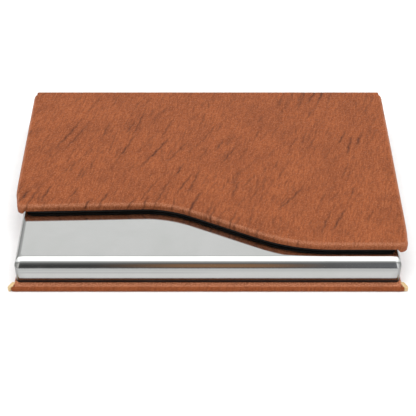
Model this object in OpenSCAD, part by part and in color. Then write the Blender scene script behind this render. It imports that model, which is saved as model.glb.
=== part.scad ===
// Slim business-card holder: a polished steel case that holds the cards, glued into a leather book cover
// whose wave-cut flap folds over the top and is held shut by two thin magnets.
// Millimetres. +X is the width, +Y points to the spine, +Z is up; the origin is under the middle of the base.

/* [Cover] */
// Width of the flap, and of the base across its flared front corners
cover_w = 98; // [94:1:110]
// Depth from the front lip of the base to the outside of the spine
cover_d = 68.4; // [64:0.2:80]
// Thickness of the leather skin
leather_t = 0.5; // [0.4:0.1:0.7]
// Thickness of the board in the flap
board_t = 0.9; // [0.5:0.1:1.1]
// Thickness of the board in the base
base_board_t = 0.3; // [0.3:0.1:0.6]
// Height between the flap and the steel case
lining_t = 1; // [0.8:0.1:1.2]
// Width of the base behind its flared front corners
base_w = 95; // [94.6:0.2:96]

/* [Wave cut of the flap] */
// Distance from the front lip to the high, left end of the wave
wave_left = 20.3; // [17:0.1:24]
// How much further forward the left front corner of the flap reaches than the left end of the wave
wave_fall = 0.85; // [0:0.05:1.2]
// Distance from the front lip to the low, right end of the wave
wave_right = 5.65; // [5:0.05:7]
// Radius of the hollow bend at the left of the wave
hollow_r = 27; // [20:1:32]
// Radius of the full bend at the right of the wave
full_r = 43; // [36:1:48]
// Steepest angle of the wave, in degrees
wave_angle = 25.5; // [22:0.5:30]
// Where the wave leaves its left end, as a distance from the middle
wave_start = -16; // [-20:1:-12]

/* [Steel case] */
// Width of the steel case
case_w = 94; // [93:0.2:94.4]
// Height of the steel case
case_h = 5.6; // [5.2:0.1:7]
// Thickness of the steel sheet
sheet_t = 0.4; // [0.3:0.05:0.5]
// Height of the black plinth under the steel
plinth_h = 0.8; // [0.6:0.1:1.2]
// Front lip of the base that shows in front of the case
front_lip = 1.9; // [1.4:0.1:2.4]
// Radius of the bend along the top of the front
front_bend_r = 3; // [2.4:0.1:3.2]
// Radius of the bends along the sides and the back
side_bend_r = 1.5; // [1:0.1:1.8]
// Radius of the upright corners
corner_r = 1; // [0.8:0.1:1.5]

/* [Magnets] */
// Diameter of each magnet
magnet_d = 8; // [6:0.5:9]
// Distance between the two magnets
magnet_gap = 13; // [11:1:15]

/* [Hidden] */
$fn = 48;
eps = 0.01;

// Colours
leather_colour = "#b0643e";
card_colour = "#d9bd8c";
lining_colour = "#2b2321";
steel_colour = "#c4c6c4";
tray_colour = "#1b1917";
magnet_colour = "#8e9094";
tape_colour = "#e9e6dc";

// Heights of the stack, from the table up
flap_t = 2 * leather_t + board_t;
base_t = 2 * leather_t + base_board_t;
tape_t = 0.1;
case_z = base_t + tape_t + plinth_h;
case_top_z = case_z + case_h;
rest_gap = 0.05;
flap_z = case_top_z + lining_t;
cover_h = flap_z + flap_t;

// The two creases of the spine. Each axis runs along X in the middle of the leather.
crease_r = 0.4;
crease_y = cover_d / 2 - crease_r;
crease_gap = 0.1;
low_crease_z = crease_r;
high_crease_z = cover_h - crease_r;
panel_back = crease_y - crease_r - crease_gap;

// Plan of the cover panels
front_y = -cover_d / 2;
flap_corner_r = 2;
flap_back_r = 1.3;
flap_draw_in = 0.7;
margin = 4.2;
draw_in_run = 7;
fold_h = 0.9;
fold_w = 2.6;
fold_d = 4;
lining_inset = 0.4;
lining_half_w = cover_w / 2 - fold_w - 0.3;
lining_back = panel_back - 1.6;
lining_corner_r = 1.5;
opening_corner_r = 1;
corner_steps = 6;
wave_steps = 9;

// The spine: nearly as wide as the flap, with a strip of board and lining on its inside
spine_w = cover_w - 1.4;
spine_strip_w = base_w - 4;
spine_board_t = 0.6;
spine_lining_t = 0.25;
spine_board_clear = 0.15;
spine_lining_clear = 1;

// Plan of the base: straight sides that flare out at the front corners
flare_depth = 3;
flare_nose = 0.6;
base_corner_r = 1.5;

// Plan of the steel case
case_front = front_y + front_lip;
spine_clear = 1.1;
case_back = crease_y - crease_r - spine_clear;
case_depth = case_back - case_front;
case_mid = (case_front + case_back) / 2;
nest_gap = 0.05;
tray_inset = sheet_t + nest_gap;
tray_wall_t = 0.8;
tray_wall_h = 2.7;
tray_corner_r = 1;
liner_t = 0.3;
liner_gap = 0.3;
liner_corner_r = 1;
tape_inset = 4;
window_inset = 13.5;
window_rim = 1.9;
window_corner_r = 3;
window_cut = 2;

// Magnets sit in blind pockets of the flap's lining, in the full part of the wave
magnet_t = 1;
magnet_x = 32;
magnet_back = 9;
pocket_gap = 0.05;

// Points of an arc, from one angle to the other
function arc(centre, r, from, to, steps) =
    [for (i = [0:steps]) let (a = from + (to - from) * i / steps) centre + r * [cos(a), sin(a)]];

// The wave from left to right, moved towards the spine by inset. The hollow bend grows and the full bend
// shrinks with it, so that the moved wave stays parallel to the edge of the flap.
function wave(inset) =
    let (
        hollow_centre = [wave_start, front_y + wave_left - hollow_r],
        drop = wave_left - wave_right - (hollow_r + full_r) * (1 - cos(wave_angle)),
        run = drop / tan(wave_angle),
        full_x = wave_start + (hollow_r + full_r) * sin(wave_angle) + run,
        full_centre = [full_x, front_y + wave_right + full_r]
    )
    concat(
        arc(hollow_centre, hollow_r + inset, 90, 90 - wave_angle, wave_steps),
        arc(full_centre, full_r - inset, 270 - wave_angle, 270, wave_steps)
    );

// A panel with the wave at its front: half width, back edge, inset of the wave, radius of the front and of
// the back corners, and how far the sides draw in beside the front corners
function flap_outline(half_w, back, inset, r, back_r, draw_in = 0) =
    let (
        left_y = front_y + wave_left - wave_fall + inset,
        right_y = front_y + wave_right + inset,
        left_x = -half_w + draw_in,
        right_x = half_w - draw_in / 4
    )
    concat(
        arc([left_x + r, left_y + r], r, 180, 270, corner_steps),
        wave(inset),
        arc([right_x - r, right_y + r], r, -90, 0, corner_steps),
        draw_in > 0 ? [[half_w, right_y + draw_in_run]] : [],
        arc([half_w - back_r, back - back_r], back_r, 0, 90, corner_steps),
        arc([-half_w + back_r, back - back_r], back_r, 90, 180, corner_steps),
        draw_in > 0 ? [[-half_w, left_y + draw_in_run]] : []
    );

// The base panel, drawn in by inset. Its front corners flare out to the full width of the cover.
function base_outline(inset, nose_inset) =
    let (
        half_w = base_w / 2 - inset,
        nose_x = cover_w / 2 - nose_inset,
        y0 = front_y + inset,
        r = base_corner_r - inset / 2
    )
    concat(
        [
            [-nose_x + flare_nose, y0],
            [nose_x - flare_nose, y0],
            [nose_x, y0 + flare_nose],
            [half_w, front_y + flare_depth]
        ],
        arc([half_w - r, panel_back - inset - r], r, 0, 90, corner_steps),
        arc([-half_w + r, panel_back - inset - r], r, 90, 180, corner_steps),
        [
            [-half_w, front_y + flare_depth],
            [-nose_x, y0 + flare_nose]
        ]
    );

// A slab of an outline between two heights
module slab(outline, z0, z1) {
    translate([0, 0, z0])
        linear_extrude(z1 - z0)
            polygon(outline);
}

// A rectangle with round corners, centred
module round_rect(w, d, r) {
    square([w - 2 * r, d], center = true);
    square([w, d - 2 * r], center = true);
    for (x = [-1, 1], y = [-1, 1])
        translate([x * (w / 2 - r), y * (d / 2 - r)])
            circle(r);
}

// A rectangle standing on the X axis with its two top corners round
module arched_rect(w, h, left_r, right_r) {
    translate([-w / 2, 0])
        square([w, h - max(left_r, right_r)]);
    translate([-w / 2 + left_r, 0])
        square([w - left_r - right_r, h]);
    translate([-w / 2 + left_r, h - left_r])
        circle(left_r);
    translate([w / 2 - right_r, h - right_r])
        circle(right_r);
    translate([-w / 2, 0])
        square([left_r, h - left_r]);
    translate([w / 2 - right_r, 0])
        square([right_r, h - right_r]);
}

// The drawn shape of the steel shell, smaller by inset on every face but the open bottom
module case_form(inset) {
    w = case_w - 2 * inset;
    d = case_depth - 2 * inset;
    h = case_h - inset;
    translate([0, case_mid, case_z])
        intersection() {
            linear_extrude(h)
                round_rect(w, d, corner_r - inset);
            rotate([90, 0, 90])
                linear_extrude(w, center = true)
                    arched_rect(d, h, front_bend_r - inset, side_bend_r - inset);
            rotate([90, 0, 0])
                linear_extrude(d, center = true)
                    arched_rect(w, h, side_bend_r - inset, side_bend_r - inset);
        }
}

// Leather wrapped round a board: a full outer skin, rolled edges and a turned-in margin on the inside
module wrapped_leather(outer, pocket, opening, z0, inner_t, inside_up) {
    opening_z = inside_up ? z0 + leather_t + inner_t - eps : z0 - eps;
    difference() {
        slab(outer, z0, z0 + 2 * leather_t + inner_t);
        slab(pocket, z0 + leather_t, z0 + leather_t + inner_t);
        slab(opening, opening_z, opening_z + leather_t + 2 * eps);
    }
}

module base_leather() {
    color(leather_colour)
        wrapped_leather(
            base_outline(0, 0), base_outline(leather_t, 0), base_opening(), 0, base_board_t, true
        );
}

function base_opening() =
    let (x = base_w / 2 - margin, y0 = front_y + margin, y1 = panel_back - margin)
    [[-x, y0], [x, y0], [x, y1], [-x, y1]];

// Stiffener of the base. Its raw edge shows at the two flared front corners.
module base_board() {
    color(card_colour)
        slab(base_outline(leather_t, 0), leather_t, leather_t + base_board_t);
}

// Sheet that fills the opening inside the turned-in margin of the base
module base_lining() {
    color(lining_colour)
        slab(base_opening(), base_t - leather_t, base_t);
}

// Double-sided tape that holds the tray to the base
module case_tape() {
    w = case_w - 2 * tape_inset;
    d = case_depth - 2 * tape_inset;
    color(tape_colour)
        translate([-w / 2, case_mid - d / 2, base_t])
            cube([w, d, tape_t]);
}

// Black moulded tray that the cards lie in. Its plinth carries the steel shell, flush with it, and its low
// walls stand inside the shell.
module case_tray() {
    w = case_w - 2 * tray_inset;
    d = case_depth - 2 * tray_inset;
    r = corner_r - tray_inset;
    color(tray_colour)
        translate([0, case_mid, base_t + tape_t]) {
            linear_extrude(plinth_h)
                round_rect(case_w, case_depth, corner_r);
            translate([0, 0, plinth_h])
                linear_extrude(tray_wall_h)
                    difference() {
                        round_rect(w, d, r);
                        round_rect(w - 2 * tray_wall_t, d - 2 * tray_wall_t, tray_corner_r);
                    }
        }
}

// Flocked sheet on the floor of the tray
module tray_liner() {
    w = case_w - 2 * (tray_inset + tray_wall_t + liner_gap);
    d = case_depth - 2 * (tray_inset + tray_wall_t + liner_gap);
    color(lining_colour)
        translate([0, case_mid, case_z])
            linear_extrude(liner_t)
                round_rect(w, d, liner_corner_r);
}

// Drawn steel shell over the tray. The window under the flap lets the cards out, and the plate in front
// of it holds their front ends down.
module case_top() {
    window = flap_outline(
        case_w / 2 - window_rim, case_back - window_rim, window_inset, window_corner_r, window_corner_r
    );
    color(steel_colour)
        difference() {
            case_form(0);
            case_form(sheet_t);
            slab(window, case_top_z - window_cut, case_top_z + eps);
        }
}

// Leather of the spine, with a round crease along each edge where it folds
module spine_leather() {
    color(leather_colour) {
        translate([-spine_w / 2, crease_y - crease_r, low_crease_z])
            cube([spine_w, 2 * crease_r, high_crease_z - low_crease_z]);
        for (z = [low_crease_z, high_crease_z])
            translate([0, crease_y, z])
                rotate([0, 90, 0])
                    cylinder(r = crease_r, h = spine_w, center = true);
    }
}

// A strip against the inside of the spine, kept clear of both cover panels
module spine_strip(t, front, clear) {
    translate([-spine_strip_w / 2, front, base_t + clear])
        cube([spine_strip_w, t, flap_z - base_t - 2 * clear]);
}

module spine_board() {
    color(card_colour)
        spine_strip(spine_board_t, crease_y - crease_r - spine_board_t, spine_board_clear);
}

module spine_lining() {
    front = crease_y - crease_r - spine_board_t - spine_lining_t;
    color(lining_colour)
        spine_strip(spine_lining_t, front, spine_lining_clear);
}

function flap_outer() =
    flap_outline(cover_w / 2, panel_back, 0, flap_corner_r, flap_back_r, flap_draw_in);

function flap_inner() =
    flap_outline(cover_w / 2 - leather_t, panel_back - leather_t, leather_t, flap_corner_r - leather_t,
        flap_back_r - leather_t, flap_draw_in);

function flap_opening() =
    flap_outline(cover_w / 2 - margin, panel_back - margin, margin, opening_corner_r, opening_corner_r);

// Leather of the flap. Where it is gathered at the two front corners it is folded thicker underneath.
module flap_leather() {
    color(leather_colour) {
        wrapped_leather(flap_outer(), flap_inner(), flap_opening(), flap_z, board_t, false);
        for (side = [[-1, wave_left - wave_fall], [1, wave_right]])
            intersection() {
                slab(flap_outer(), flap_z - fold_h, flap_z + eps);
                translate([side[0] * (cover_w - fold_w) / 2, front_y + side[1] + fold_d / 2, flap_z])
                    cube([fold_w, fold_d + 2 * eps, 2 * (fold_h + eps)], center = true);
            }
    }
}

module flap_board() {
    color(card_colour)
        slab(flap_inner(), flap_z + leather_t, flap_z + leather_t + board_t);
}

// Places the children at both magnets
module at_magnets() {
    for (side = [-0.5, 0.5])
        translate([magnet_x + side * magnet_gap, front_y + wave_right + magnet_back, flap_z + leather_t])
            children();
}

// Lining of the flap. It rests on the steel case and holds the magnets.
module flap_lining() {
    color(lining_colour)
        difference() {
            union() {
                slab(
                    flap_outline(lining_half_w, lining_back, lining_inset, lining_corner_r, lining_corner_r),
                    case_top_z + rest_gap, flap_z
                );
                slab(flap_opening(), flap_z, flap_z + leather_t);
            }
            at_magnets()
                translate([0, 0, -magnet_t - pocket_gap])
                    cylinder(d = magnet_d + 2 * pocket_gap, h = magnet_t + pocket_gap + eps);
        }
}

module flap_magnets() {
    color(magnet_colour)
        at_magnets()
            translate([0, 0, -magnet_t])
                cylinder(d = magnet_d, h = magnet_t);
}

base_leather();
base_board();
base_lining();
case_tape();
case_tray();
tray_liner();
case_top();
spine_leather();
spine_board();
spine_lining();
flap_leather();
flap_board();
flap_lining();
flap_magnets();
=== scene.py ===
"""A slim card holder: a polished steel case in a chestnut leather cover with a wave-cut flap.

Lengths are in millimetres, along the frame's axes, until Build.make() turns them into metres.
"""
import math

import bpy
import numpy as np
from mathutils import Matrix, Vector, geometry, kdtree


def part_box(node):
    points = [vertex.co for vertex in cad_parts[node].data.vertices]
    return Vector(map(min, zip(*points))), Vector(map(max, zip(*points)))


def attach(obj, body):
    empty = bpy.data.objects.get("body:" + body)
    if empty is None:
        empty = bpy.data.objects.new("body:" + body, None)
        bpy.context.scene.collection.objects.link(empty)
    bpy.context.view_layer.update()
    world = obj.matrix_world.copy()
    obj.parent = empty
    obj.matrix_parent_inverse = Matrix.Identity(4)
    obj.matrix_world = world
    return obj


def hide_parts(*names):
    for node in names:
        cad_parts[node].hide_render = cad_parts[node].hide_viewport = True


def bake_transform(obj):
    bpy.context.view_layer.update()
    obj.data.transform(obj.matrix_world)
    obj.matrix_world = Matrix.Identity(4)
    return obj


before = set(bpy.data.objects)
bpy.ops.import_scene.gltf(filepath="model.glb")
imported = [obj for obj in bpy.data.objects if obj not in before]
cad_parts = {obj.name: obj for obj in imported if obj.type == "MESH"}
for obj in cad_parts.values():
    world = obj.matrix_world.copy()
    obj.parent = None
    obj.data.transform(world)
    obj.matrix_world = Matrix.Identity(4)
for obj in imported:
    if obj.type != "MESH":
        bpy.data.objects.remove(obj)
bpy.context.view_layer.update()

MM = 0.001


def box_mm(node):
    """Lowest and highest corner of a CAD node, in millimetres."""
    return [np.array(corner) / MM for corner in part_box(node)]


# ---------------------------------------------------------------- sizes

FLAP_LOW, FLAP_HIGH = box_mm("flap_leather")
BASE_LOW, BASE_HIGH = box_mm("base_leather")
SPINE_LOW, SPINE_HIGH = box_mm("spine_leather")
CASE_LOW, CASE_HIGH = box_mm("case_top")

FRONT = BASE_LOW[1]
HALF_W = FLAP_HIGH[0]
BACK = FLAP_HIGH[1]
TOP = FLAP_HIGH[2]
CREASE_R = (SPINE_HIGH[1] - SPINE_LOW[1]) / 2

# The wave along the front of the flap, as in the CAD
WAVE_LEFT = 20.3
WAVE_FALL = 0.85
WAVE_RIGHT = 5.65
HOLLOW_R = 27
FULL_R = 43
WAVE_ANGLE = 25.5
WAVE_START = -16
WINDOW_INSET = 13.5
WINDOW_RIM = 1.9
WINDOW_CORNER_R = 3

# Bends of the steel shell
SHEET_T = 0.4
FRONT_BEND = 3
SIDE_BEND = 1.5
CASE_CORNER_R = 1
TOP_CORNER_R = 0.9
# Painted darker reflection along the foot of the shell, from where to where it fades out, and the faint dark
# line painted into the reflection below the bend, as heights above the foot
FOOT_SHADE = (0.4, 0.9)
REFLECTION_LINE = 2.48

# How far the skins of the panels lie under the leather that runs over the spine
LAP = 0.02

# How much thicker the flap's skin is where it is gathered at its front corners, and its underside elsewhere
FOLD = 0.9
FLAP_UNDERSIDE = FLAP_LOW[2] + FOLD
# Where a gathered corner starts and is full: across the flap, and behind its front edge
FOLD_X = (46.1, 47.0)
FOLD_DEPTH = (5.0, 2.6)

# Corners of the flap, and how far its sides draw in towards its front corners
FLAP_CORNER_R = 1.6
FLAP_BACK_R = 1.3
DRAW_IN = 0.7


# ---------------------------------------------------------------- outlines

def arc(centre, r, start, end, steps=24):
    """Points of an arc between two angles, in degrees."""
    angles = np.radians(np.linspace(start, end, steps + 1))
    return np.array(centre) + r * np.stack([np.cos(angles), np.sin(angles)], axis=1)


def wave(inset):
    """The wave from left to right, moved towards the spine by inset."""
    cosine, sine = math.cos(math.radians(WAVE_ANGLE)), math.sin(math.radians(WAVE_ANGLE))
    drop = WAVE_LEFT - WAVE_RIGHT - (HOLLOW_R + FULL_R) * (1 - cosine)
    full_x = WAVE_START + (HOLLOW_R + FULL_R) * sine + drop * cosine / sine
    hollow = (WAVE_START, FRONT + WAVE_LEFT - HOLLOW_R)
    full = (full_x, FRONT + WAVE_RIGHT + FULL_R)
    return np.vstack([
        arc(hollow, HOLLOW_R + inset, 90, 90 - WAVE_ANGLE),
        arc(full, FULL_R - inset, 270 - WAVE_ANGLE, 270),
    ])


def flap_outline(half_w, back, inset, front_r, back_r, draw_in=0.0):
    """Outline of a panel with the wave at its front. draw_in narrows it towards its front corners."""
    left = FRONT + WAVE_LEFT - WAVE_FALL + inset
    right = FRONT + WAVE_RIGHT + inset
    left_x, right_x = -half_w + draw_in, half_w - draw_in / 4
    parts = [
        arc((left_x + front_r, left + front_r), front_r, 180, 270, 8),
        wave(inset),
        arc((right_x - front_r, right + front_r), front_r, -90, 0, 8),
    ]
    if draw_in:
        parts.append([[half_w - draw_in / 12, right + 4.5], [half_w, right + 8]])
    parts += [
        arc((half_w - back_r, back - back_r), back_r, 0, 90, 8),
        arc((-half_w + back_r, back - back_r), back_r, 90, 180, 8),
    ]
    if draw_in:
        parts.append([[-half_w, left + 8], [-half_w + draw_in / 8, left + 5.5]])
    return np.vstack(parts)


def resample(outline, step):
    """The closed outline with points spaced evenly, about step apart."""
    closed = np.vstack([outline, outline[:1]])
    lengths = np.r_[0, np.cumsum(np.linalg.norm(np.diff(closed, axis=0), axis=1))]
    count = int(round(lengths[-1] / step))
    places = np.linspace(0, lengths[-1], count, endpoint=False)
    return np.stack([np.interp(places, lengths, closed[:, axis]) for axis in (0, 1)], axis=1)


def soften(outline, reach):
    """The closed outline after a Gaussian blur along it, which rounds off its kinks. reach is in points."""
    spread = int(3 * reach)
    shifts = np.arange(-spread, spread + 1)
    weights = np.exp(-0.5 * (shifts / reach) ** 2)
    weights /= weights.sum()
    return sum(weight * np.roll(outline, shift, axis=0) for weight, shift in zip(weights, shifts))


def smooth(values, start, end):
    """0 at start and 1 at end, with a smooth step between."""
    share = np.clip((values - start) / (end - start), 0, 1)
    return share * share * (3 - 2 * share)


def inward(outline):
    """Unit vectors pointing inwards from an anticlockwise outline."""
    along = np.roll(outline, -1, axis=0) - np.roll(outline, 1, axis=0)
    along /= np.linalg.norm(along, axis=1, keepdims=True)
    return np.stack([-along[:, 1], along[:, 0]], axis=1)


def inside(points, polygon):
    """Which points lie inside the polygon."""
    x, y = points[:, 0], points[:, 1]
    result = np.zeros(len(points), bool)
    for (x0, y0), (x1, y1) in zip(polygon, np.roll(polygon, -1, axis=0)):
        if y0 != y1:
            crosses = (y0 > y) != (y1 > y)
            result ^= crosses & (x < (x1 - x0) * (y - y0) / (y1 - y0) + x0)
    return result


def round_rect(half_w, front, back, r, corner_steps=10, side_steps=60):
    """Anticlockwise rounded rectangle from the front right. Two with the same steps match point for point."""
    centres = [
        ((half_w - r, front + r), -90),
        ((half_w - r, back - r), 0),
        ((-half_w + r, back - r), 90),
        ((-half_w + r, front + r), 180),
    ]
    corners = [arc(centre, r, start, start + 90, corner_steps) for centre, start in centres]
    parts = []
    for corner, following in zip(corners, corners[1:] + corners[:1]):
        parts.append(corner)
        share = np.linspace(0, 1, side_steps + 1)[1:-1, None]
        parts.append(corner[-1] * (1 - share) + following[0] * share)
    return np.vstack(parts)


# ---------------------------------------------------------------- meshes

class Build:
    """Collects the points and faces of one mesh, with each point's place on the unrolled leather."""

    def __init__(self):
        self.points = []
        self.flat = []
        self.faces = []
        self.count = 0

    def add(self, xyz, flat=None):
        xyz = np.asarray(xyz, float)
        self.points.append(xyz)
        self.flat.append(np.asarray(xyz if flat is None else flat, float))
        index = np.arange(self.count, self.count + len(xyz))
        self.count += len(xyz)
        return index

    def ring(self, outline, z, flat=None):
        heights = np.broadcast_to(z, len(outline))
        return self.add(np.column_stack([outline, heights]), flat)

    def face(self, corners):
        self.faces.append([int(i) for i in corners])

    def bridge(self, low, high):
        """Quads between two closed loops. They face outwards if low lies under high, anticlockwise."""
        for i in range(len(low)):
            j = (i + 1) % len(low)
            self.face((low[i], low[j], high[j], high[i]))

    def wrap(self, rings):
        """Quads between each closed loop and the next."""
        for low, high in zip(rings, rings[1:]):
            self.bridge(low, high)

    def fill(self, loop, spacing, up=True, hole=None):
        """Fills a nearly level loop of points with triangles on a level grid of the given spacing."""
        everything = np.vstack(self.points)
        flats = np.vstack(self.flat)
        rim = everything[loop][:, :2]
        z = np.median(everything[loop][:, 2])
        rims = [rim] if hole is None else [rim, everything[hole][:, :2]]
        low, high = rim.min(0), rim.max(0)
        # An equilateral grid, kept clear of the rims by a little over half its spacing
        columns = np.arange(low[0] + spacing / 2, high[0], spacing)
        rows = np.arange(low[1] + spacing / 2, high[1], spacing * 0.866)
        grid = np.array([(x + (k % 2) * spacing / 2, y) for k, y in enumerate(rows) for x in columns])
        grid = grid[inside(grid, rim)]
        if hole is not None:
            grid = grid[~inside(grid, rims[1])]
        edge = np.vstack(rims)
        tree = kdtree.KDTree(len(edge))
        for i, (x, y) in enumerate(edge):
            tree.insert((x, y, 0), i)
        tree.balance()
        grid = grid[[tree.find((x, y, 0))[2] > 0.55 * spacing for x, y in grid]]
        flat = np.column_stack([grid, np.full(len(grid), z)])
        flat[:, 2] = np.median(flats[loop][:, 2])
        new = self.add(np.column_stack([grid, np.full(len(grid), z)]), flat)
        index = np.concatenate([loop, new] if hole is None else [loop, hole, new])
        coordinates = [Vector(p) for p in np.vstack([edge, grid])]
        bounds, start = [], 0
        for r in rims:
            bounds.append(list(range(start, start + len(r))))
            start += len(r)
        edges = [(b[i], b[(i + 1) % len(b)]) for b in bounds for i in range(len(b))]
        made = geometry.delaunay_2d_cdt(coordinates, edges, [], 0, 1e-7)
        origin = [found[0] if found else None for found in made[3]]
        crossings = [i for i, found in enumerate(origin) if found is None]
        if crossings:
            places = np.array([tuple(made[0][i]) for i in crossings])
            for number, i in enumerate(crossings, len(index)):
                origin[i] = number
            level = np.full(len(places), z)
            flat_level = np.full(len(places), flat[0, 2])
            extra = self.add(np.column_stack([places, level]), np.column_stack([places, flat_level]))
            index = np.concatenate([index, extra])
            grid = np.vstack([grid, places])
        triangles = np.array([[origin[i] for i in face] for face in made[2]])
        flat_points = np.vstack([edge, grid])
        middles = flat_points[triangles].mean(axis=1)
        keep = inside(middles, rim)
        if hole is not None:
            keep &= ~inside(middles, rims[1])
        for triangle in triangles[keep]:
            corners = index[triangle]
            self.face(corners if up else corners[::-1])

    def make(self, name, body=None, sharp=None):
        """The mesh object, smooth apart from edges sharper than the given angle."""
        mesh = bpy.data.meshes.new(name)
        points = np.vstack(self.points)
        mesh.from_pydata((points * MM).tolist(), [], self.faces)
        mesh.polygons.foreach_set("use_smooth", np.ones(len(self.faces), bool))
        if sharp is not None:
            mesh.set_sharp_from_angle(angle=math.radians(sharp))
        mesh.update()
        obj = bpy.data.objects.new(name, mesh)
        bpy.context.scene.collection.objects.link(obj)
        store(obj, "flat", np.vstack(self.flat))
        if body:
            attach(obj, body)
        return obj


def store(obj, name, values):
    """Keeps a number or a vector on each point of a mesh, for its material to read."""
    kind = "FLOAT" if values.ndim == 1 else "FLOAT_VECTOR"
    attribute = obj.data.attributes.new(name, kind, "POINT")
    attribute.data.foreach_set("value" if values.ndim == 1 else "vector", values.astype(np.float32).ravel())


# ---------------------------------------------------------------- leather surface

# Degrees from the long side of the holder
CREASE_DIRECTION = 67
CREASE_DEPTH = 0.05
# The soft dip beside each crease: its share of the depth, and how much wider it is
HALO = 0.16
HALO_WIDTH = 3.5
rng = np.random.default_rng(11)


def make_streaks(groups, size, mean_length, spacing, width, strength):
    """Groups of shallow, nearly parallel creases across the leather, as a list of centre, angle, half length,
    width, strength, bend and phase. A group has up to size creases side by side, about spacing apart."""
    streaks = []
    for _ in range(groups):
        middle = rng.uniform(SKIN_LOW, SKIN_HIGH)
        lie = math.radians(rng.normal(CREASE_DIRECTION, 7))
        ahead, aside = np.array((math.cos(lie), math.sin(lie))), np.array((-math.sin(lie), math.cos(lie)))
        for i in range(rng.integers(1, size + 1)):
            angle = lie + math.radians(rng.normal(0, 4))
            half = mean_length * rng.uniform(0.35, 1.1)
            centre = middle + ahead * rng.normal(0, 0.5 * mean_length)
            centre = centre + aside * spacing * (i + rng.normal(0, 0.2))
            own_width = width * rng.uniform(0.7, 1.4)
            own_strength = strength * rng.uniform(0.4, 1)
            bend = rng.uniform(-0.4, 0.4) / half ** 2
            streaks.append((centre, angle, half, own_width, own_strength, bend, rng.uniform(0, 2 * math.pi)))
    return streaks


def crease_map(flat, streaks):
    """How deep in a crease each point of the unrolled leather lies, from 0 to 1."""
    depth = np.zeros(len(flat))
    order = np.argsort(flat[:, 0])
    sorted_x = flat[order, 0]
    for centre, angle, half, width, strength, bend, phase in streaks:
        reach = half + 2
        first, last = np.searchsorted(sorted_x, (centre[0] - reach, centre[0] + reach))
        near = order[first:last]
        dx, dy = flat[near, 0] - centre[0], flat[near, 1] - centre[1]
        along = dx * math.cos(angle) + dy * math.sin(angle)
        across = -dx * math.sin(angle) + dy * math.cos(angle)
        across = across - bend * along ** 2 - 0.12 * np.sin(along * 1.9 + phase)
        taper = np.clip(1 - (along / half) ** 2, 0, 1)
        broken = 0.78 + 0.22 * np.sin(along * 2.3 + 2 * phase) * np.sin(along * 1.1 + phase)
        line = np.exp(-(across / width) ** 2) + HALO * np.exp(-(across / width / HALO_WIDTH) ** 2)
        depth[near] = np.maximum(depth[near], strength * taper * broken * line)
    return depth


SKIN_LOW, SKIN_HIGH = np.array((-50.0, -30.0)), np.array((50.0, 120.0))
STREAKS = make_streaks(90, 4, 7.6, 2.4, 0.25, 0.84) + make_streaks(260, 4, 3.6, 1.9, 0.20, 0.48)
STREAKS += make_streaks(1000, 3, 1.4, 1.0, 0.15, 0.38)


def press_creases(obj, edge):
    """Presses the creases into a leather mesh and keeps what its material needs."""
    mesh = obj.data
    flat = np.zeros(len(mesh.vertices) * 3, np.float32)
    mesh.attributes["flat"].data.foreach_get("vector", flat)
    flat = flat.reshape(-1, 3).astype(float)
    depth = crease_map(flat, STREAKS)
    points = np.zeros(len(mesh.vertices) * 3)
    mesh.vertices.foreach_get("co", points)
    normals = np.zeros(len(mesh.vertices) * 3)
    mesh.vertices.foreach_get("normal", normals)
    moved = points.reshape(-1, 3) - normals.reshape(-1, 3) * (depth * CREASE_DEPTH * MM)[:, None]
    mesh.vertices.foreach_set("co", moved.ravel())
    mesh.update()
    store(obj, "crease", depth)
    store(obj, "edge", edge)


def roll_profile(height, top_r, bottom_r, reach):
    """Section of a rolled leather edge, from the underside inwards of the edge round to the top: distance
    from the outline, height, and how far round the edge it is."""
    low = [(reach, 0)]
    for a in np.linspace(0, math.pi / 2, 7):
        low.append((bottom_r * (1 - math.sin(a)), bottom_r * (1 - math.cos(a))))
    high = []
    for a in np.linspace(0, math.pi / 2, 9):
        high.append((top_r * (1 - math.cos(a)), height - top_r * (1 - math.sin(a))))
    high += [(top_r + (reach - top_r) * 0.4, height), (reach, height)]
    section = np.array(low + high)
    rounds = np.r_[0, np.cumsum(np.linalg.norm(np.diff(section, axis=0), axis=1))]
    return section, rounds[-1] - rounds


# The edge value that the leather's material reads: its most, on the outline, and how far in it fades to 0
EDGE_MOST = 0.85
EDGE_DEPTH = 0.9


def panel(name, body, outline, z0, z1, spacing, top_r, bottom_r, reach, sheet_depth, sag=0.0, lip=None):
    """A board wrapped in leather, with rolled edges. sag thickens it downwards along the outline. lip is the
    depth of a strip along the front painted paler as a highlight and painted darker where it turns down,
    instead of the paler, partly worn edges all round."""
    build = Build()
    normals = inward(outline)
    section, unrolled = roll_profile(z1 - z0, top_r, bottom_r, reach)
    rings, edge = [], []
    for (distance, height), away in zip(section, unrolled):
        place = outline + normals * distance
        unrolled_place = outline + normals * (section[-1][0] - away)
        flat = np.column_stack([unrolled_place, np.full(len(outline), sheet_depth)])
        rings.append(build.ring(place, z0 + height - sag * (1 - height / (z1 - z0)), flat))
        edge.append(np.full(len(outline), EDGE_MOST * np.clip(1 - distance / EDGE_DEPTH, 0, 1)))
    build.wrap(rings)
    build.fill(rings[-1], spacing)
    build.fill(rings[0], spacing * 2, up=False)
    edge = np.concatenate(edge)
    edge = np.r_[edge, np.zeros(build.count - len(edge))]
    if lip:
        # On the base's lip: a painted highlight across its top strip, and painted shade where it turns down
        # at the front
        points = np.vstack(build.points)
        over_edge = smooth(points[:, 2], z1, z1 - 0.10)
        near_edge = smooth(points[:, 1], FRONT + 0.95, FRONT + 0.40)
        turned = np.maximum(over_edge, near_edge)
        strip = smooth(points[:, 1], FRONT + lip + 1.0, FRONT + lip)
        edge = (0.5 + 0.42 * turned) * strip
    obj = build.make(name, body)
    press_creases(obj, edge)
    return obj


# ---------------------------------------------------------------- materials

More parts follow.
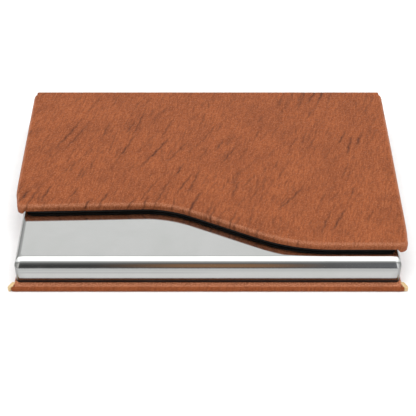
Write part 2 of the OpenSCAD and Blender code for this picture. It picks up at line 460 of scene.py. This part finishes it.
class Shader:
    """A material's node tree, with short calls for its nodes."""

    def __init__(self, name, data=None):
        self.data = data or bpy.data.materials.new(name)
        self.data.use_nodes = True
        self.tree = self.data.node_tree
        self.tree.nodes.clear()

    def node(self, kind, inputs=None, **settings):
        made = self.tree.nodes.new("ShaderNode" + kind)
        for key, value in settings.items():
            setattr(made, key, value)
        for key, value in (inputs or {}).items():
            self.feed(made.inputs[key], value)
        return made

    def feed(self, socket, value):
        if isinstance(value, bpy.types.NodeSocket):
            self.tree.links.new(value, socket)
        elif isinstance(value, bpy.types.Node):
            self.tree.links.new(value.outputs[0], socket)
        else:
            if socket.type == "RGBA" and len(value) == 3:
                value = (*value, 1)
            socket.default_value = value

    def flat(self, angle=0, stretch=(1, 1, 1)):
        """The place on the unrolled leather in millimetres, turned by angle and divided by stretch."""
        place = self.node("Attribute", attribute_name="flat").outputs["Vector"]
        back = {"Vector": place, "Angle": math.radians(-angle)}
        turned = self.node("VectorRotate", back, rotation_type="Z_AXIS")
        return self.node("VectorMath", {0: turned, 1: tuple(1 / s for s in stretch)}, operation="MULTIPLY")

    def object(self):
        """The place in the object's own frame, in millimetres."""
        place = self.node("TexCoord").outputs["Object"]
        return self.node("VectorMath", {0: place, "Scale": 1 / MM}, operation="SCALE")

    def noise(self, place, scale, detail=3, roughness=0.5, distortion=0.0):
        inputs = {"Vector": place, "Scale": scale, "Detail": detail}
        inputs.update({"Roughness": roughness, "Distortion": distortion})
        return self.node("TexNoise", inputs).outputs["Fac"]

    def stretched(self, place, factors):
        """The place multiplied by a factor along each axis."""
        return self.node("VectorMath", {0: place, 1: factors}, operation="MULTIPLY")

    def spread(self, value, low, high, to_low=0.0, to_high=1.0):
        """The value mapped from low..high to to_low..to_high, and held there."""
        return self.node("MapRange", {0: value, 1: low, 2: high, 3: to_low, 4: to_high}).outputs[0]

    def math(self, operation, a, b=0.0):
        return self.node("Math", {0: a, 1: b}, operation=operation).outputs[0]

    def mix(self, share, a, b):
        made = self.node("Mix", data_type="RGBA")
        self.feed(made.inputs[0], share)
        self.feed(made.inputs[6], a)
        self.feed(made.inputs[7], b)
        return made.outputs[2]

    def bump(self, height, distance, strength=1.0, normal=None):
        inputs = {"Height": height, "Distance": distance * MM, "Strength": strength}
        if normal is not None:
            inputs["Normal"] = normal
        return self.node("Bump", inputs).outputs["Normal"]

    def finish(self, color, roughness, normal=None, **sockets):
        shader = self.node("BsdfPrincipled", {"Base Color": color, "Roughness": roughness})
        for key, value in sockets.items():
            self.feed(shader.inputs[key.replace("_", " ").title().replace("Ior", "IOR")], value)
        if normal is not None:
            self.feed(shader.inputs["Normal"], normal)
        output = self.node("OutputMaterial")
        self.tree.links.new(shader.outputs[0], output.inputs[0])
        return self.data


def leather_material(name, wear_and_highlight_color):
    """Chestnut leather, painted paler where an edge turns down: partly wear, partly a painted highlight."""
    s = Shader(name)
    crease = s.node("Attribute", attribute_name="crease").outputs["Fac"]
    edge = s.node("Attribute", attribute_name="edge").outputs["Fac"]
    cloud = s.noise(s.flat(), 0.07, 3, 0.55)
    blotch = s.noise(s.flat(CREASE_DIRECTION, (4, 1, 1)), 0.42, 4, 0.6, 0.4)
    fibre = s.noise(s.flat(CREASE_DIRECTION, (5, 1, 1)), 1.25, 3, 0.6, 0.3)
    cells = {"Vector": s.flat(CREASE_DIRECTION, (1.35, 1, 1)), "Scale": 2.1, "Randomness": 0.9}
    pebble = s.node("TexVoronoi", cells, feature="SMOOTH_F1").outputs["Distance"]
    grain = s.noise(s.flat(CREASE_DIRECTION, (1.4, 1, 1)), 1.7, 2, 0.65)
    speck = s.noise(s.flat(), 3.2, 1, 0.5)
    hatch = s.noise(s.flat(80, (5.5, 1, 1)), 2.2, 2, 0.6, 0.5)

    color = s.mix(s.spread(cloud, 0.38, 0.62), (0.258, 0.067, 0.0190), (0.318, 0.085, 0.0245))
    color = s.mix(s.spread(blotch, 0.46, 0.72, 0, 0.5), color, (0.176, 0.045, 0.013))
    color = s.mix(s.spread(fibre, 0.5, 0.75, 0, 0.5), color, (0.144, 0.036, 0.010))
    color = s.mix(s.spread(hatch, 0.34, 0.52, 0.55, 0), color, (0.156, 0.036, 0.010))
    color = s.mix(s.spread(hatch, 0.54, 0.72, 0, 0.38), color, (0.445, 0.146, 0.052))
    color = s.mix(s.spread(grain, 0.30, 0.56, 0.46, 0), color, (0.160, 0.032, 0.007))
    color = s.mix(s.spread(speck, 0.50, 0.72, 0, 0.50), color, (0.472, 0.182, 0.090))
    # Paler where an edge turns down, partly wear and partly a painted highlight, painted shade on the rim
    # under it, and darkest in the creases
    # Painted highlight, partly real wear: the paler colour across the rounding of an edge
    worn = s.math("MULTIPLY", s.spread(edge, 0.0, 0.40), s.spread(edge, 0.90, 0.70))
    worn = s.math("MULTIPLY", worn, s.spread(speck, 0.42, 0.62, 0.25, 0.75))
    color = s.mix(worn, color, wear_and_highlight_color)
    # Painted shade on the rolled rim that faces the front, where the edge value is highest
    color = s.mix(s.spread(edge, 0.86, 0.99, 0, 0.60), color, (0.225, 0.048, 0.009))
    color = s.mix(s.spread(crease, 0.03, 0.70, 0, 0.85), color, (0.066, 0.018, 0.008))

    relief = s.math("ADD", s.math("MULTIPLY", pebble, 0.8), s.math("MULTIPLY", grain, 0.7))
    normal = s.bump(relief, 0.22, 0.9)
    normal = s.bump(fibre, -0.06, 0.5, normal)
    roughness = s.spread(grain, 0.3, 0.7, 0.62, 0.44)
    return s.finish(color, roughness, normal, specular_ior_level=0.13)


def raw_board_material():
    s = Shader("raw_board")
    place = s.object()
    layers = s.noise(s.stretched(place, (0.5, 0.5, 9)), 1.0, 3, 0.6)
    fibre = s.noise(place, 4.0, 3, 0.6)
    color = s.mix(s.spread(layers, 0.35, 0.65), (0.62, 0.43, 0.21), (0.76, 0.58, 0.34))
    color = s.mix(s.spread(fibre, 0.5, 0.75, 0, 0.4), color, (0.55, 0.34, 0.15))
    return s.finish(color, 0.85, s.bump(fibre, 0.05, 0.8), specular_ior_level=0.2)


def steel_material():
    s = Shader("polished_steel")
    place = s.object()
    smudge = s.noise(place, 0.12, 4, 0.6, 0.6)
    hairline = s.noise(s.stretched(place, (0.05, 2.5, 2.5)), 2.0, 2, 0.6)
    drawn = s.node("Attribute", attribute_name="drawn").outputs["Fac"]
    tone = s.mix(s.spread(smudge, 0.3, 0.7), (0.462, 0.470, 0.458), (0.490, 0.494, 0.486))
    # Painted darker reflection: the steel is darkened at the side bends, along the foot, and in a line and a
    # band on the front
    tone = s.mix(drawn, tone, (0.17, 0.17, 0.168))
    polish = s.spread(smudge, 0.35, 0.75, 0.08, 0.115)
    roughness = s.math("ADD", polish, s.spread(hairline, 0.55, 0.8, 0, 0.03))
    return s.finish(tone, roughness, s.bump(hairline, 0.0006, 0.4), metallic=1.0)


def plastic_material():
    s = Shader("black_plastic")
    place = s.object()
    grain = s.noise(place, 6.0, 2, 0.5)
    wear = s.noise(place, 0.25, 4, 0.6)
    color = s.mix(s.spread(wear, 0.4, 0.7), (0.006, 0.006, 0.006), (0.012, 0.011, 0.010))
    roughness = s.spread(wear, 0.35, 0.7, 0.30, 0.42)
    return s.finish(color, roughness, s.bump(grain, 0.012, 0.5), specular_ior_level=0.32)


def flock_material():
    s = Shader("black_flock")
    place = s.object()
    nap = s.noise(place, 7.0, 3, 0.7)
    brushed = s.noise(s.stretched(place, (0.25, 0.9, 0.9)), 0.5, 3, 0.6)
    color = s.mix(s.spread(brushed, 0.35, 0.65), (0.007, 0.006, 0.006), (0.015, 0.013, 0.012))
    color = s.mix(s.spread(nap, 0.55, 0.8, 0, 0.5), color, (0.035, 0.032, 0.030))
    normal = s.bump(nap, 0.12, 0.9)
    return s.finish(color, 0.95, normal, specular_ior_level=0.1, sheen_weight=0.06, sheen_roughness=0.5)


def tape_material():
    s = Shader("tissue_tape")
    fibre = s.noise(s.object(), 2.0, 4, 0.7)
    color = s.mix(s.spread(fibre, 0.35, 0.65), (0.70, 0.67, 0.58), (0.82, 0.80, 0.73))
    return s.finish(color, 0.6, s.bump(fibre, 0.02, 0.6))


def nickel_material():
    s = Shader("nickel_plate")
    worn = s.noise(s.object(), 0.8, 4, 0.6)
    color = s.mix(s.spread(worn, 0.35, 0.7), (0.56, 0.55, 0.53), (0.44, 0.43, 0.42))
    return s.finish(color, s.spread(worn, 0.3, 0.7, 0.18, 0.34), metallic=1.0)


LEATHER = leather_material("chestnut_leather", (0.470, 0.195, 0.105))
# The base's copy of the leather, with a paler colour painted as a highlight on its lip
LIP_HIGHLIGHT_LEATHER = leather_material("chestnut_leather_lip_highlight", (0.700, 0.290, 0.160))
RAW_BOARD = raw_board_material()
STEEL = steel_material()
PLASTIC = plastic_material()
FLOCK = flock_material()
TAPE = tape_material()
NICKEL = nickel_material()


def dress(obj, material):
    """Gives an object its only material."""
    obj.data.materials.clear()
    obj.data.materials.append(material)


# ---------------------------------------------------------------- flap and base

def make_flap():
    """The leather skin of the flap, gathered at its two front corners."""
    outline = flap_outline(HALF_W, BACK, 0, FLAP_CORNER_R, FLAP_BACK_R, DRAW_IN)
    outline = soften(resample(outline, 0.3), 1.6)
    front = np.where(outline[:, 0] < 0, WAVE_LEFT - WAVE_FALL, WAVE_RIGHT) + FRONT
    near_front = smooth(outline[:, 1] - front, *FOLD_DEPTH)
    gathered = FOLD * smooth(np.abs(outline[:, 0]), *FOLD_X) * near_front
    flap = panel(
        "flap_cover", "flap", outline, FLAP_UNDERSIDE, TOP - LAP,
        spacing=0.3, top_r=1.0, bottom_r=0.15, reach=1.4, sheet_depth=0, sag=gathered,
    )
    dress(flap, LEATHER)
    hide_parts("flap_leather")


BASE_HALF_W = 47.5
BASE_BACK_R = 1.5
FLARE_DEPTH = 3.2
# Half of the flared front, as distances in from the full width and back from the front edge
SKIN_CORNER = [(1.3, 0), (0.9, 0.12), (0.82, 0.4), (0.95, 1.1), (1.25, 2.1), (1.5, FLARE_DEPTH)]
CORE_CORNER = [
    (0.5, 0.02), (0.08, 0.14), (0, 0.4), (0.08, 0.85), (0.42, 1.5), (0.85, 2.2), (1.25, 2.9), (1.6, 3.4),
]
# The base is cut from its own sheet of leather, so its grain is read at another depth of the noise
BASE_SHEET = 60
# How far back the painted highlight on the lip reaches before it fades
LIP_DEPTH = 2.0


def base_outline(corner):
    """The base, with the given shape of its two flared front corners."""
    half = [[HALF_W - aside, FRONT + back] for aside, back in corner]
    back = arc((BASE_HALF_W - BASE_BACK_R, BACK - BASE_BACK_R), BASE_BACK_R, 0, 90, 8)
    right = np.vstack([half, back])
    left = (right * (-1, 1))[::-1]
    return np.vstack([right, left])


def make_base():
    """The leather skin of the base, and its board, whose raw edge shows at the two flared corners."""
    outline = soften(resample(base_outline(SKIN_CORNER), 0.2), 1.2)
    z0, z1 = BASE_LOW[2] + LAP, BASE_HIGH[2]
    base = panel(
        "base_cover", "base", outline, z0, z1,
        spacing=0.4, top_r=0.75, bottom_r=0.14, reach=0.95, sheet_depth=BASE_SHEET, lip=LIP_DEPTH,
    )
    dress(base, LIP_HIGHLIGHT_LEATHER)
    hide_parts("base_leather")

    build = Build()
    core = soften(resample(base_outline(CORE_CORNER), 0.2), 0.6)
    normals = inward(core)
    # The cut edge is a little ragged, and lies further in wherever the leather hides it
    ragged = 0.05 * np.sin(np.arange(len(core)) * 2.1) * np.sin(np.arange(len(core)) * 0.77)
    hidden = 0.9 * (core[:, 1] > FRONT + FLARE_DEPTH + 0.6) + 0.5 * (np.abs(core[:, 0]) < HALF_W - 0.9)
    shrink = np.minimum(hidden, 0.9)
    section = [(0.5, 0), (0.12, 0), (0, 0.12), (0.03, 0.5), (0.05, 0.62), (0, 0.85), (0.12, 1), (0.5, 1)]
    z0, z1 = BASE_LOW[2] + 0.08, BASE_HIGH[2] - 0.06
    rings = [
        build.ring(core + normals * (distance + shrink + ragged + 0.03)[:, None], z0 + (z1 - z0) * share)
        for distance, share in section
    ]
    build.wrap(rings)
    build.fill(rings[-1], 3.0)
    build.fill(rings[0], 3.0, up=False)
    board = build.make("base_core", "base", sharp=50)
    dress(board, RAW_BOARD)
    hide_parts("base_board")


# ---------------------------------------------------------------- spine

BEND_R = 1.0
SPINE_MIDDLE = (SPINE_LOW[2] + SPINE_HIGH[2]) / 2
LAP_FRONT = BACK - 2.4


def spine_path():
    """Lower half of the spine's outside, from under the base to the middle: y, z and the direction out."""
    outside = SPINE_HIGH[1]
    lap = [(y, LAP * 1.3 * (1 - (y - LAP_FRONT) / 1.6) if y < LAP_FRONT + 1.6 else 0.0)
           for y in np.arange(LAP_FRONT, outside - BEND_R, 0.25)]
    path = [(y, z, 0, -1) for y, z in lap]
    for a in np.linspace(0, math.pi / 2, 12):
        sine, cosine = math.sin(a), math.cos(a)
        path.append((outside - BEND_R * (1 - sine), BEND_R * (1 - cosine), sine, -cosine))
    path += [(outside, z, 1, 0) for z in np.arange(BEND_R + 0.25, SPINE_MIDDLE, 0.25)]
    path.append((outside, SPINE_MIDDLE, 1, 0))
    return np.array(path)


def spine_half(name, upper):
    """Half of the leather of the spine, swept along its path, with rounded side edges."""
    half_w = SPINE_HIGH[0]
    end_r = CREASE_R
    columns = np.linspace(-half_w + end_r, half_w - end_r, 330)
    turn = np.radians(np.linspace(-90, 90, 9))[1:-1]
    right = [(half_w - end_r + end_r * math.cos(a), end_r + end_r * math.sin(a)) for a in turn]
    left = [(-x, depth) for x, depth in reversed(right)]
    loop = [(x, 0.0) for x in columns] + right + [(x, 2 * end_r) for x in columns[::-1]] + left
    loop = np.array(loop)
    path = spine_path()
    lengths = np.r_[0, np.cumsum(np.linalg.norm(np.diff(path[:, :2], axis=0), axis=1))]
    whole = 2 * lengths[-1]
    build = Build()
    rings = []
    for (y, z, out_y, out_z), length in zip(path, lengths):
        depth = loop[:, 1]
        if upper:
            z, out_z = SPINE_HIGH[2] - z, -out_z
            v = LAP_FRONT + length
        else:
            v = LAP_FRONT + whole - length
        points = np.column_stack([loop[:, 0], y - out_y * depth, z - out_z * depth])
        flat = np.column_stack([loop[:, 0], np.full(len(loop), v), -depth * 4])
        rings.append(build.add(points, flat))
    if not upper:
        rings.reverse()
    build.wrap(rings)
    build.face(rings[0][::-1])
    build.face(rings[-1])
    obj = build.make(name)
    press_creases(obj, np.zeros(build.count))
    dress(obj, LEATHER)
    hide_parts("spine_leather")
    return obj


def make_spine():
    """The leather of the spine in two halves, each bent at its own crease, and the lining strip inside."""
    lower = spine_half("spine_cover_lower", False)
    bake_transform(lower)
    upper = spine_half("spine_cover_upper", True)
    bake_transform(upper)

    low, _ = box_mm("spine_lining")
    board_low, board_high = box_mm("spine_board")
    build = Build()
    outline = round_rect(board_high[0], board_low[2], board_high[2], 0.6, 5, 40)
    normals = inward(outline)
    rings = []
    for distance, y in ((0, board_high[1]), (0, low[1] + 0.3), (0.09, low[1] + 0.08), (0.3, low[1])):
        place = outline + normals * distance
        rings.append(build.add(np.column_stack([place[:, 0], np.full(len(place), y), place[:, 1]])))
    build.wrap(rings)
    build.face(rings[0][::-1])
    build.face(rings[-1])
    strip = build.make("spine_strip", "spine", sharp=60)
    dress(strip, FLOCK)
    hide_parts("spine_lining", "spine_board")


# ---------------------------------------------------------------- linings

PAD_INSET = 0.4
PAD_CORNER_R = 1.5


def make_pad():
    """The lining plate of the flap. It fills the opening of the leather and stands proud, with soft edges."""
    low, high = box_mm("flap_lining")
    outline = flap_outline(high[0], high[1], PAD_INSET, PAD_CORNER_R, PAD_CORNER_R)
    outline = soften(resample(outline, 0.4), 1.5)
    normals = inward(outline)
    build = Build()
    z_top = FLAP_UNDERSIDE + 0.15
    edge = [(0.8, 0), (0.2, 0), (0.06, 0.04), (0, 0.14)]
    section = [(distance, low[2] + height) for distance, height in edge]
    section += [(0, z_top - 0.2), (0.1, z_top)]
    rings = [build.ring(outline + normals * distance, z) for distance, z in section]
    build.wrap(rings)
    build.fill(rings[0], 1.5, up=False)
    build.fill(rings[-1], 4.0)
    pad = build.make("flap_pad", "flap", sharp=60)
    dress(pad, FLOCK)
    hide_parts("flap_lining")


# ---------------------------------------------------------------- steel shell

def case_loops(inset):
    """Outlines of the walls and of the flat top, matched point for point. inset is the depth in the sheet."""
    half_w, front, back = CASE_HIGH[0] - inset, CASE_LOW[1] + inset, CASE_HIGH[1] - inset
    wall = round_rect(half_w, front, back, CASE_CORNER_R - inset)
    half_w, front, back = CASE_HIGH[0] - SIDE_BEND, CASE_LOW[1] + FRONT_BEND, CASE_HIGH[1] - SIDE_BEND
    top = round_rect(half_w, front, back, TOP_CORNER_R)
    return wall, top


def drawn_marks(points):
    """How much darker each point of the steel is painted, from 0 to 1: painted shade in the reflection on the
    side bends and along the foot, and a painted dark line and band in the reflection on the front.
    """
    height = points[:, 2] - CASE_LOW[2]
    front = points[:, 1] < CASE_LOW[1] + FRONT_BEND
    sides = 0.6 * smooth(np.abs(points[:, 0]), CASE_HIGH[0] - 1.25, CASE_HIGH[0] - 0.6)
    foot = smooth(height, FOOT_SHADE[1], FOOT_SHADE[0])
    line = 0.55 * np.exp(-((height - REFLECTION_LINE) / 0.13) ** 2)
    line *= 0.25 + 0.75 * smooth(points[:, 0], 12, -12)
    band = 0.34 * smooth(height, 2.5, 3.3) * smooth(height, 4.2, 3.6)
    return np.maximum.reduce([sides, foot, line * front, band * front])


def make_shell():
    """The stamped steel shell: an outer and an inner skin, joined along the foot and round the card window.
    """
    top = case_loops(0)[1]
    bend = np.interp(top[:, 1] - top[:, 1].min(), [0, TOP_CORNER_R], [FRONT_BEND, SIDE_BEND])
    window_half_w, window_back = CASE_HIGH[0] - WINDOW_RIM, CASE_HIGH[1] - WINDOW_RIM
    window = flap_outline(window_half_w, window_back, WINDOW_INSET, WINDOW_CORNER_R, WINDOW_CORNER_R)
    window = resample(window, 0.5)
    out = -inward(window)
    guard = 0.04
    arc_steps = np.linspace(0, math.pi / 2, 25)
    build = Build()

    def skin(inset):
        wall, top = case_loops(inset)
        low = build.ring(wall, CASE_LOW[2])
        heights = (guard, *FOOT_SHADE, 2.0, 2.3, 2.4, REFLECTION_LINE)
        rings = [low] + [build.ring(wall, CASE_LOW[2] + height) for height in heights]
        rings.append(build.ring(wall, CASE_HIGH[2] - bend - guard))
        for a in arc_steps:
            place = top + (wall - top) * math.cos(a)
            rings.append(build.ring(place, CASE_HIGH[2] - bend + (bend - inset) * math.sin(a)))
        flat = build.ring(top + inward(top) * guard, CASE_HIGH[2] - inset)
        return rings + [flat]

    outer, inner = skin(0), skin(SHEET_T)
    build.wrap(outer)
    for lower, upper in zip(inner, inner[1:]):
        build.bridge(upper, lower)
    build.bridge(inner[0], outer[0])

    edge_r = 0.12
    rim = [build.ring(window + out * (edge_r + guard), CASE_HIGH[2])]
    for a in np.linspace(0, math.pi / 2, 5):
        aside, down = edge_r * (1 - math.sin(a)), edge_r * (1 - math.cos(a))
        rim.append(build.ring(window + out * aside, CASE_HIGH[2] - down))
    rim.append(build.ring(window, CASE_HIGH[2] - SHEET_T))
    for above, below in zip(rim, rim[1:]):
        build.bridge(below[::-1], above[::-1])
    build.fill(outer[-1], 6.0, hole=rim[0])
    build.fill(inner[-1], 6.0, up=False, hole=rim[-1])
    shell = build.make("steel_shell", "base", sharp=40)
    # Where the steel's reflection is painted darker
    store(shell, "drawn", drawn_marks(np.vstack(build.points)))
    dress(shell, STEEL)
    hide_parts("case_top")


make_flap()
make_base()
make_spine()
make_pad()
make_shell()
for node, material in {
    "base_lining": FLOCK,
    "case_tape": TAPE,
    "case_tray": PLASTIC,
    "tray_liner": FLOCK,
    "flap_board": RAW_BOARD,
    "flap_magnets": NICKEL,
}.items():
    dress(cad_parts[node], material)


# ---------------------------------------------------------------- studio

def studio_world():
    """Soft light by direction. The angle runs across the holder: 0 in front, 90 overhead, 180 behind."""
    world = bpy.data.worlds.new("studio")
    bpy.context.scene.world = world
    s = Shader("studio", world)
    direction = s.node("SeparateXYZ", {0: s.node("TexCoord").outputs["Generated"]})
    x, y, z = direction.outputs
    front = s.math("MULTIPLY", y, -1.0)
    angle = s.math("MULTIPLY", s.math("ARCTAN2", z, front), 180 / math.pi)
    share = s.spread(angle, -180, 180)
    ramp = s.node("ValToRGB", {0: share})
    stops = [
        (-180, 0.45), (-100, 0.38), (-20, 0.30),
        (-4, 0.14), (2, 0.086), (12, 0.040), (22, 0.026), (31, 0.034), (41, 0.052), (50, 0.085),
        (60, 0.21), (69, 0.36), (76, 0.95), (79, 1.0), (114, 1.0), (119, 0.60), (124, 0.35),
        (131, 0.38), (137, 0.44), (180, 0.44),
    ]
    elements = ramp.color_ramp.elements
    for i, (degrees, level) in enumerate(stops):
        place = (degrees + 180) / 360
        if i < 2:
            element = elements[i]
            element.position = place
        else:
            element = elements.new(place)
        element.color = (level, level, level, 1)
    light = ramp.outputs[0]
    # The dark front of the room: paler to the right, brown in the middle, and with a soft lamp at each side
    low = s.math("MULTIPLY", s.spread(angle, -6, 4), s.spread(angle, 68, 44))
    light = s.mix(s.math("MULTIPLY", low, s.spread(x, 0.03, 0.15)), light, (0.082, 0.084, 0.090))
    middle = s.math("MULTIPLY", s.spread(x, -0.09, -0.02), s.spread(x, 0.10, 0.05))
    middle = s.math("MULTIPLY", middle, s.math("MULTIPLY", s.spread(angle, 4, 14), s.spread(angle, 48, 38)))
    light = s.mix(middle, light, (0.150, 0.084, 0.046))
    aside = s.math("ABSOLUTE", x)
    lamp = s.mix(s.spread(x, -0.2, 0.2), (0.40, 0.39, 0.38), (0.60, 0.60, 0.61))
    light = s.mix(s.math("MULTIPLY", low, s.spread(aside, 0.20, 0.36)), light, lamp)
    back = s.math("MULTIPLY", s.spread(angle, 112, 128), s.spread(aside, 0.20, 0.34))
    light = s.mix(back, light, (0.25, 0.25, 0.25))
    light = s.mix(s.spread(aside, 0.45, 0.9), light, (0.26, 0.26, 0.26))
    background = s.node("Background", {"Color": light, "Strength": 2.8})
    output = s.node("OutputWorld")
    s.tree.links.new(background.outputs[0], output.inputs[0])


def studio_floor():
    """A pale paper floor, just under the holder."""
    size, level = 3.0, -0.00002
    mesh = bpy.data.meshes.new("floor")
    corners = [(-size, -size, level), (size, -size, level), (size, size, level), (-size, size, level)]
    mesh.from_pydata(corners, [], [(0, 1, 2, 3)])
    floor = bpy.data.objects.new("floor", mesh)
    bpy.context.scene.collection.objects.link(floor)
    s = Shader("floor_paper")
    tooth = s.noise(s.object(), 0.5, 2, 0.5)
    color = s.mix(s.spread(tooth, 0.3, 0.7), (0.93, 0.93, 0.93), (0.95, 0.95, 0.95))
    dress(floor, s.finish(color, 0.9, specular_ior_level=0.2))


def studio_camera():
    """The camera looks down on the front of the holder."""
    data = bpy.data.cameras.new("camera")
    camera = bpy.data.objects.new("camera", data)
    bpy.context.scene.collection.objects.link(camera)
    data.sensor_width = 36
    data.lens = 96.88
    data.clip_start = 0.01
    elevation = math.radians(42)
    camera.location = (0.00002, -0.2240, 0.1985)
    camera.rotation_euler = (math.pi / 2 - elevation, 0, 0)
    bpy.context.scene.camera = camera


studio_world()
studio_floor()
studio_camera()
bpy.context.scene.view_settings.view_transform = "Standard"
